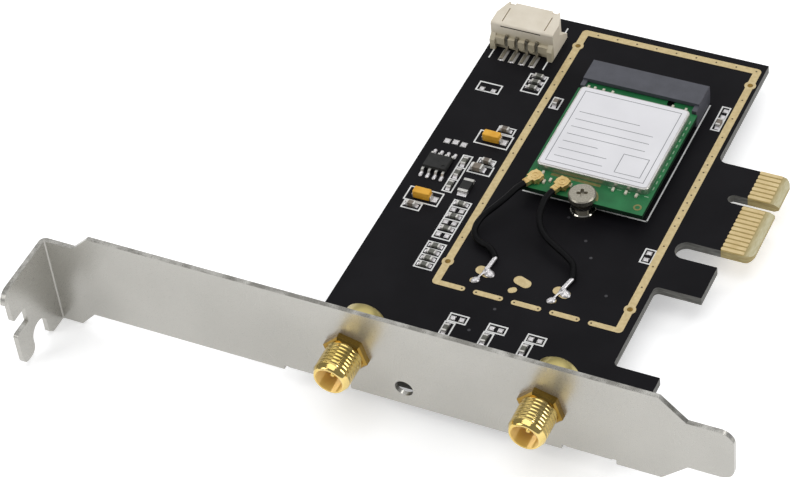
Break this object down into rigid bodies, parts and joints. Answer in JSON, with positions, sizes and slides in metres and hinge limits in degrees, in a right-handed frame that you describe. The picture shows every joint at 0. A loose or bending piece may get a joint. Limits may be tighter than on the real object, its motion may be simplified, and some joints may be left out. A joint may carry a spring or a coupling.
{
  "type": "wireless network card",
  "caption": "Expansion card with a slot bracket, threaded antenna sockets, a screened radio module in a board socket, coax leads, a side-entry header and a gold edge connector.",
  "frame": {"origin": "centre of the key notch at the end of the edge connector's tab, in the board's mid-plane", "axes": "+X the way the edge connector goes into its slot; +Y along the board away from the bracket; +Z out of the component side"},
  "size_m": [0.1209, 0.1054, 0.0216],
  "materials": {
    "solder_mask_board": "black solder mask over glass-fibre laminate",
    "gold_plating": "thin gold plating over copper or brass",
    "tin": "bright tin and solder",
    "bracket_steel": "satin plated steel sheet",
    "screw_steel": "bright nickel plate",
    "socket_brass": "polished gold-plated brass",
    "insulator": "white fluoropolymer",
    "header_nylon": "natural beige nylon",
    "socket_moulding": "dark slate heat-proof moulding",
    "module_laminate": "green solder mask",
    "shield_metal": "bright tinned sheet",
    "label_film": "white satin label",
    "chip_black": "black moulding",
    "chip_ceramic": "brown-grey sintered ceramic",
    "tantalum_moulding": "yellow-orange moulding",
    "lead_jacket": "black coax jacket"
  },
  "bodies": {
    "root": {"main_board": "solder_mask_board", "edge_contacts_front": "gold_plating", "edge_contacts_back": "gold_plating", "guard_trace": "gold_plating", "bare_pads": "gold_plating", "module_contacts": "gold_plating", "antenna_jacks": "gold_plating", "antenna_plugs": "gold_plating", "solder_pads": "tin", "chip_end_caps": "tin", "tantalum_terminals": "tin", "regulator_leads": "tin", "socket_contacts": "tin", "socket_solder": "tin", "lead_joints": "tin", "header_pins": "tin", "bracket": "bracket_steel", "bracket_screws": "screw_steel", "module_screw": "screw_steel", "standoff": "screw_steel", "antenna_socket_left": "socket_brass", "antenna_socket_right": "socket_brass", "socket_nuts": "socket_brass", "socket_pins": "socket_brass", "socket_insulators": "insulator", "header_housing": "header_nylon", "module_socket": "socket_moulding", "module_board": "module_laminate", "module_shield": "shield_metal", "module_label": "label_film", "radio_chip": "chip_black", "regulator_chip": "chip_black", "chip_resistors": "chip_black", "fuse": "chip_black", "chip_capacitors": "chip_ceramic", "module_chips": "chip_ceramic", "tantalum_capacitors": "tantalum_moulding", "antenna_lead_left": "lead_jacket", "antenna_lead_right": "lead_jacket"}
  },
  "joints": []
}
